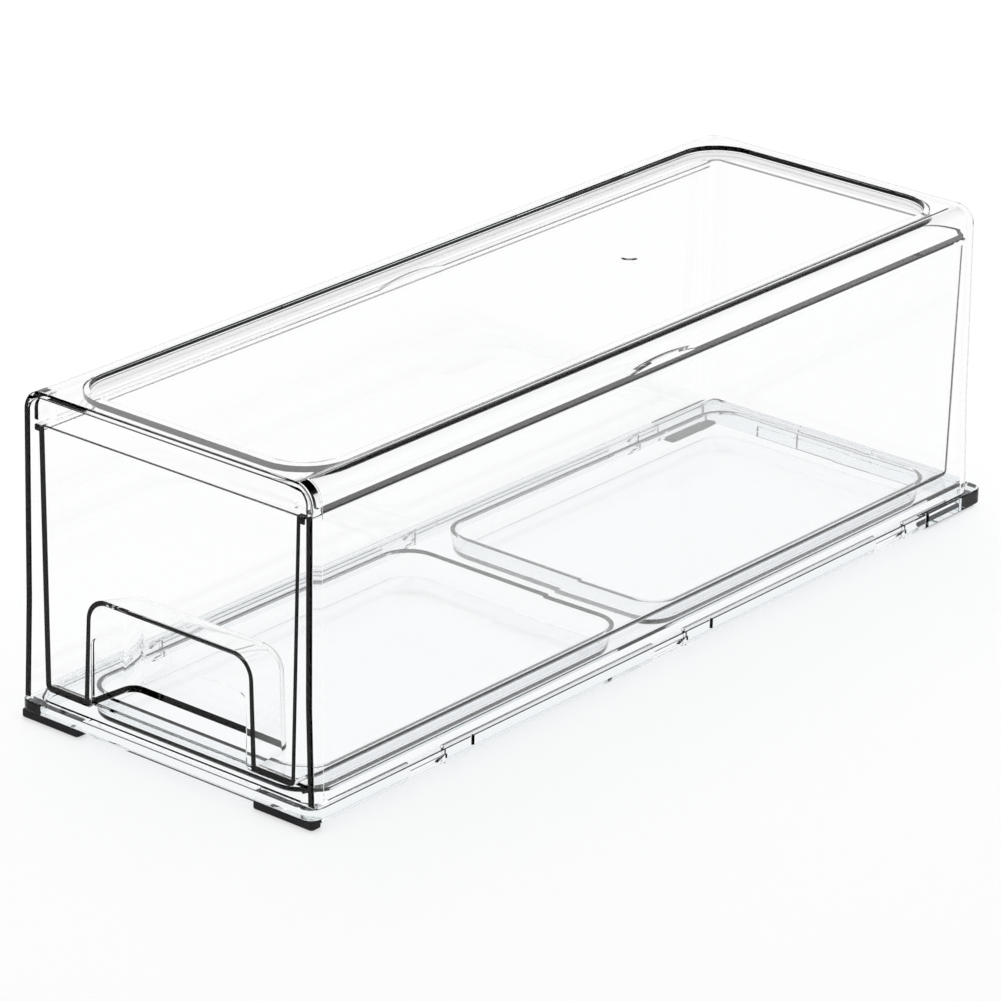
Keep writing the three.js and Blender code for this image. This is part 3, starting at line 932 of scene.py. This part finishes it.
def flange_section(y):
    """The rim's section, drawn across the whole drawer."""
    steps = fillet_steps(DRAWER_TOP - FLANGE_THICKNESS, FLANGE_FOOT_ROUND)
    steps += crown_steps(DRAWER_TOP, FLANGE_TOP_ROUND)
    return both_halves([Vector((FLANGE_HALF + growth, y, z)) for z, growth in steps])


flange_length = DRAWER_REAR - DRAWER_CORNER - DRAWER_FRONT
join(drawer, prism("flange", flange_section(DRAWER_FRONT), Vector((0, flange_length, 0))))
cut(drawer, bin_inside)
print("rim flange", round(flange_length / MM, 1), "mm long")

# %% Finger pocket
POCKET_HALF = 34 * MM
POCKET_DRAFT = 1.2 * MM
POCKET_HEIGHT = 35.8 * MM
POCKET_CORNER = 8 * MM
POCKET_DEPTH = 19.2 * MM
POCKET_NARROWING = 2.1 * MM
POCKET_DROP = 3.7 * MM
POCKET_WALL = 1.6 * MM
POCKET_REAR_ROUND = 5 * MM


def arch(foot_half, top_half, foot, top, corner, y):
    """An arch that faces the front, from its right foot over to its left."""
    right = [Vector((foot_half, y, foot))]
    for a in quarter(0):
        x = top_half - corner + corner * math.cos(a)
        right.append(Vector((x, y, top - corner + corner * math.sin(a))))
    return both_halves(right)


def pocket_arch(y, inset, foot):
    share = (y - DRAWER_FRONT) / POCKET_DEPTH
    narrow = POCKET_NARROWING * share + inset
    top = DRAWER_FOOT + POCKET_HEIGHT - POCKET_DROP * share - inset
    top_half = POCKET_HALF - POCKET_DRAFT - narrow
    return arch(POCKET_HALF - narrow, top_half, foot, top, POCKET_CORNER - inset, y)


def pocket_body(name, inset, front, rear, foot, rear_round):
    steps = [(front, 0)] + [(y, -growth) for y, growth in crown_steps(rear, rear_round)]
    return loft(name, [pocket_arch(y, inset + more, foot) for y, more in steps])


pocket_rear = DRAWER_FRONT + POCKET_DEPTH
panel_rear = DRAWER_FRONT + DRAWER_FRONT_WALL
hood_front = DRAWER_FRONT + DRAWER_FRONT_WALL / 2
hood = pocket_body("hood", 0, hood_front, pocket_rear, DRAWER_FOOT, POCKET_REAR_ROUND)
cavity = pocket_body(
    "cavity", POCKET_WALL, panel_rear, pocket_rear - POCKET_WALL, DRAWER_FOOT - OVERRUN,
    POCKET_REAR_ROUND - POCKET_WALL,
)
join(drawer, hood)
cut(drawer, cavity)
print("finger pocket", round(POCKET_DEPTH / MM, 1), "mm deep")

# %% [markdown]
# The opening under the panel has round upper corners and feet that flare out at the bottom
# edge. The outline is walked once round with arcs, and pushed through the panel.

# %% Pocket opening
OPENING_HALF = 30.3 * MM
OPENING_HEIGHT = 23.3 * MM
OPENING_CORNER = 3 * MM
OPENING_FLARE = 1.7 * MM


def opening_outline(y):
    top = DRAWER_FOOT + OPENING_HEIGHT
    foot = DRAWER_FOOT - OVERRUN
    flare_centre = OPENING_HALF + OPENING_FLARE
    right = [Vector((flare_centre, y, foot))]
    for a in quarter(0):
        x = flare_centre - OPENING_FLARE * math.sin(a)
        right.append(Vector((x, y, DRAWER_FOOT + OPENING_FLARE * (1 - math.cos(a)))))
    for a in quarter(0):
        x = OPENING_HALF - OPENING_CORNER + OPENING_CORNER * math.cos(a)
        right.append(Vector((x, y, top - OPENING_CORNER + OPENING_CORNER * math.sin(a))))
    return both_halves(right)


opening_depth = Vector((0, OVERRUN + DRAWER_FRONT_WALL + FUSE, 0))
cut(drawer, prism("opening", opening_outline(DRAWER_FRONT - OVERRUN), opening_depth))
print("opening", round(2 * OPENING_HALF / MM, 1), "by", round(OPENING_HEIGHT / MM, 1), "mm")

# %% Rim bumps and gate mark
BUMP_HALF = 15 * MM
BUMP_WIDTH = 1.2 * MM
BUMP_INSET = 2.4 * MM
BUMP_Y = 1 * MM
BUMP_STEPS = 16
DRAWER_GATE_Y = -19 * MM
PANEL_RADIUS = 0.3 * MM


def rim_bump(side):
    """A low lens on the flange, as a part of a circle."""
    radius = (BUMP_HALF ** 2 + BUMP_HEIGHT ** 2) / (2 * BUMP_HEIGHT)
    reach = math.asin(BUMP_HALF / radius)
    centre = DRAWER_TOP + BUMP_HEIGHT - radius
    x = side * (FLANGE_HALF - BUMP_INSET)
    turns = [-reach + 2 * reach * step / BUMP_STEPS for step in range(BUMP_STEPS + 1)]
    foot = DRAWER_TOP - FUSE
    outline = [Vector((x, BUMP_Y - BUMP_HALF, foot))]
    for t in turns:
        outline.append(Vector((x, BUMP_Y + radius * math.sin(t), centre + radius * math.cos(t))))
    outline.append(Vector((x, BUMP_Y + BUMP_HALF, foot)))
    return prism("bump", outline, Vector((-side * BUMP_WIDTH, 0, 0)))


for side in (-1, 1):
    join(drawer, rim_bump(side))
cut(drawer, gate_dish(DRAWER_GATE_Y, DRAWER_FLOOR))
rounded = round_front(drawer, PANEL_RADIUS, DRAWER_FRONT)
print(rounded, "front edges rounded")
finish_piece(drawer, "clear_drawer", ["sliding_drawer"], "drawer", drawer_plastic)
measure(drawer)
measure_node("sliding_drawer")

# %% [markdown]
# ## The base tray
#
# The tray is the most broken-up moulding: a ledge that the case stands on, a raised deck that
# the drawer slides on, with a leaning front, a thin skirt that goes down towards the floor, and
# two shallow wells that stiffen the deck. It is hollow from below. Solid bodies are joined
# first, and the hollow, the wells, the clip slots and the pad seats are cut afterwards.

# %% Tray bodies
LEDGE_BOTTOM = 2.8 * MM
LEDGE_TOP = 6.2 * MM
LEDGE_CORNER = 4 * MM
LEDGE_ROUND = 0.4 * MM
LEDGE_FOOT_ROUND = 0.4 * MM
SKIRT_LIFT = 0.9 * MM
SKIRT_INSET = 1 * MM
SKIRT_FRONT_INSET = 2.5 * MM
SKIRT_CORNER = 3 * MM
DECK_HALF = CASE_FOOT_HALF - CASE_WALL - CLIP_PLAY
DECK_FRONT = BASE_FRONT + 3 * MM
DECK_REAR = CASE_FOOT_REAR - CASE_REAR_WALL - CLIP_PLAY
DECK_CORNER = CASE_CORNER - CASE_REAR_WALL - CLIP_PLAY
DECK_ROUND = 0.3 * MM
DECK_LEAN = 1.0            # how far the deck's front leans back for each unit of its rise
BASE_WALL = 1.6 * MM


def ledge_ring(z, growth):
    return grown(BASE_HALF, BASE_FRONT, BASE_REAR, LEDGE_CORNER, z, growth)


def skirt_ring(z):
    front = BASE_FRONT + SKIRT_FRONT_INSET
    rear = BASE_REAR - SKIRT_INSET
    return grown(BASE_HALF - SKIRT_INSET, front, rear, SKIRT_CORNER, z, 0)


def deck_ring(z, growth, lean):
    return grown(DECK_HALF, DECK_FRONT + lean, DECK_REAR, DECK_CORNER, z, growth)


ledge_steps = fillet_steps(LEDGE_BOTTOM, LEDGE_FOOT_ROUND) + crown_steps(LEDGE_TOP, LEDGE_ROUND)
tray = loft("tray", [ledge_ring(z, growth) for z, growth in ledge_steps])
skirt = loft("skirt", [skirt_ring(z) for z in (SKIRT_LIFT, LEDGE_BOTTOM + 2 * FUSE)])
deck_steps = [(LEDGE_BOTTOM + 2 * FUSE, 0), (LEDGE_TOP, 0)] + crown_steps(DECK_TOP, DECK_ROUND)
deck = loft("deck", [
    deck_ring(z, growth, DECK_LEAN * max(z - LEDGE_TOP, 0)) for z, growth in deck_steps
])
join(tray, skirt, deck)
print("tray", round(2 * BASE_HALF / MM), "by", round((BASE_REAR - BASE_FRONT) / MM), "mm")

# %% Tray corner blocks
BLOCK_LENGTH = 30.5 * MM
BLOCK_WIDTH = 24.5 * MM


def corner_block(side):
    """The part of the rim over a rear pad, flush with the ledge."""
    rim = loft("rim", [ledge_ring(z, 0) for z in (SKIRT_LIFT, LEDGE_BOTTOM + 3 * FUSE)])
    low = (BASE_HALF - BLOCK_WIDTH, BASE_REAR - BLOCK_LENGTH, 0)
    high = (BASE_HALF + OVERRUN, BASE_REAR + OVERRUN, LEDGE_TOP)
    return combine(rim, "INTERSECT", block("corner", *mirrored(side, low, high)))


for side in (-1, 1):
    join(tray, corner_block(side))
print("two corner blocks")

# %% [markdown]
# Each well is a shallow dish with leaning walls. Its outer body is joined to the deck from
# below, and its inside is cut with a rounded brim and a filleted floor, because those two
# curves are the soft grey borders seen through the drawer's floor.

# %% Tray wells
WELL_LIFT = base_low.z
WELL_HALF = DECK_HALF - 11 * MM
WELL_CORNER = 10 * MM
WELL_SLOPE = 1.5 * MM
WELL_BRIM = 0.5 * MM
WELL_FILLET = 1.6 * MM
WELL_SPACING = 17 * MM
WELL_SPANS = (
    (DECK_FRONT + 10 * MM, -WELL_SPACING / 2),
    (WELL_SPACING / 2, DECK_REAR - 7 * MM),
)


def well_ring(front, rear, z, growth):
    """A well's outline at height z, leaning in towards its floor."""
    lean = growth - WELL_SLOPE * (DECK_TOP - z) / (DECK_TOP - WELL_LIFT)
    return grown(WELL_HALF, front, rear, WELL_CORNER, z, lean)


level_wall = BASE_WALL * math.hypot(1, DECK_LEAN)
hollow_bend = LEDGE_TOP - (level_wall - BASE_WALL) / DECK_LEAN
hollow_top = DECK_TOP - BASE_WALL
hollow_lean = DECK_LEAN * (hollow_top - LEDGE_TOP) + level_wall - BASE_WALL
hollow_steps = [(-OVERRUN, 0), (hollow_bend, 0), (hollow_top, hollow_lean)]
hollow = loft("hollow", [deck_ring(z, -BASE_WALL, lean) for z, lean in hollow_steps])
cut(tray, hollow)
for front, rear in WELL_SPANS:
    steps = fillet_steps(WELL_LIFT, WELL_FILLET) + [(DECK_TOP - BASE_WALL / 2, 0)]
    rings = [well_ring(front, rear, z, growth + BASE_WALL) for z, growth in steps]
    join(tray, loft("dish", rings))
for front, rear in WELL_SPANS:
    steps = fillet_steps(WELL_LIFT + BASE_WALL, WELL_FILLET) + brim_steps(DECK_TOP, WELL_BRIM)
    steps.append((DECK_TOP + OVERRUN, WELL_BRIM))
    cut(tray, loft("well", [well_ring(front, rear, z, growth) for z, growth in steps]))
cut(tray, gate_dish(0, DECK_TOP))
print("two wells", round(2 * WELL_HALF / MM), "mm wide")

# %% Tray slots, notches and pad seats
WINDOW_TOP = LEDGE_BOTTOM + 1.5 * MM
SLOT_OUTER = CLIP_OUTER + CLIP_PLAY
NOTCH_RADIUS = 0.8 * MM
NOTCH_OFFSET = 19.4 * MM
NOTCH_POINTS = 16
PAD_PLAY = 0.3 * MM


def clip_slot(side, y):
    half = CLIP_LENGTH / 2
    low = (DECK_HALF, y - half, -OVERRUN)
    high = (SLOT_OUTER, y + half, LEDGE_TOP + OVERRUN)
    return block("slot", *mirrored(side, low, high))


def clip_window(side, y):
    half = CLIP_LENGTH / 2
    low = (SLOT_OUTER - FUSE, y - half, -OVERRUN)
    high = (BASE_HALF + OVERRUN, y + half, WINDOW_TOP)
    return block("window", *mirrored(side, low, high))


def ledge_notch(side, y):
    outline = circle(NOTCH_RADIUS, side * BASE_HALF, y, -OVERRUN, NOTCH_POINTS)
    return prism("notch", outline, Vector((0, 0, LEDGE_TOP + 2 * OVERRUN)))


def pad_seat(name):
    """The space that a pad stands in, open to the floor and to the tray's end and side."""
    low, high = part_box(name)
    outward = OVERRUN if low.x > 0 else -OVERRUN
    rearward = OVERRUN if low.y > 0 else -OVERRUN
    x = (low.x - PAD_PLAY + min(outward, 0), high.x + PAD_PLAY + max(outward, 0))
    y = (low.y - PAD_PLAY + min(rearward, 0), high.y + PAD_PLAY + max(rearward, 0))
    return block("seat", (x[0], y[0], -OVERRUN), (x[1], y[1], high.z + PAD_PLAY))


PADS = ("pad_front_right", "pad_front_left", "pad_rear_right", "pad_rear_left")
for side, y in clip_places():
    cut(tray, clip_slot(side, y), clip_window(side, y), ledge_notch(side, y + NOTCH_OFFSET))
rear_slot_half = REAR_CLIP_LENGTH / 2
cut(tray, block(
    "rear_slot", (-rear_slot_half, DECK_REAR, -OVERRUN),
    (rear_slot_half, rear_inner + CLIP_THICKNESS + CLIP_PLAY, LEDGE_TOP + OVERRUN),
))
for name in PADS:
    cut(tray, pad_seat(name))
finish_piece(tray, "clear_base", ["base_tray"], "case", base_plastic)
measure(tray)
measure_node("base_tray")

# %% [markdown]
# ## The pads
#
# Each pad is a flat strip of rubber with softened edges, under a corner of the tray. It is a
# small loft like the rest, from the corners of its box in the frame.

# %% Pads
PAD_CORNER = 1.2 * MM
PAD_ROUND = 0.5 * MM


def make_pad(name):
    low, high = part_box(name)
    middle = (low.x + high.x) / 2
    half = (high.x - low.x) / 2

    def ring(z, growth):
        points = grown(half, low.y, high.y, PAD_CORNER, z, growth)
        return [point + Vector((middle, 0, 0)) for point in points]

    steps = fillet_steps(low.z, PAD_ROUND) + crown_steps(high.z, PAD_ROUND)
    pad = loft(name, [ring(z, growth) for z, growth in steps])
    return finish_piece(pad, "rubber_" + name, [name], "case", rubber)


for name in PADS:
    measure(make_pad(name))
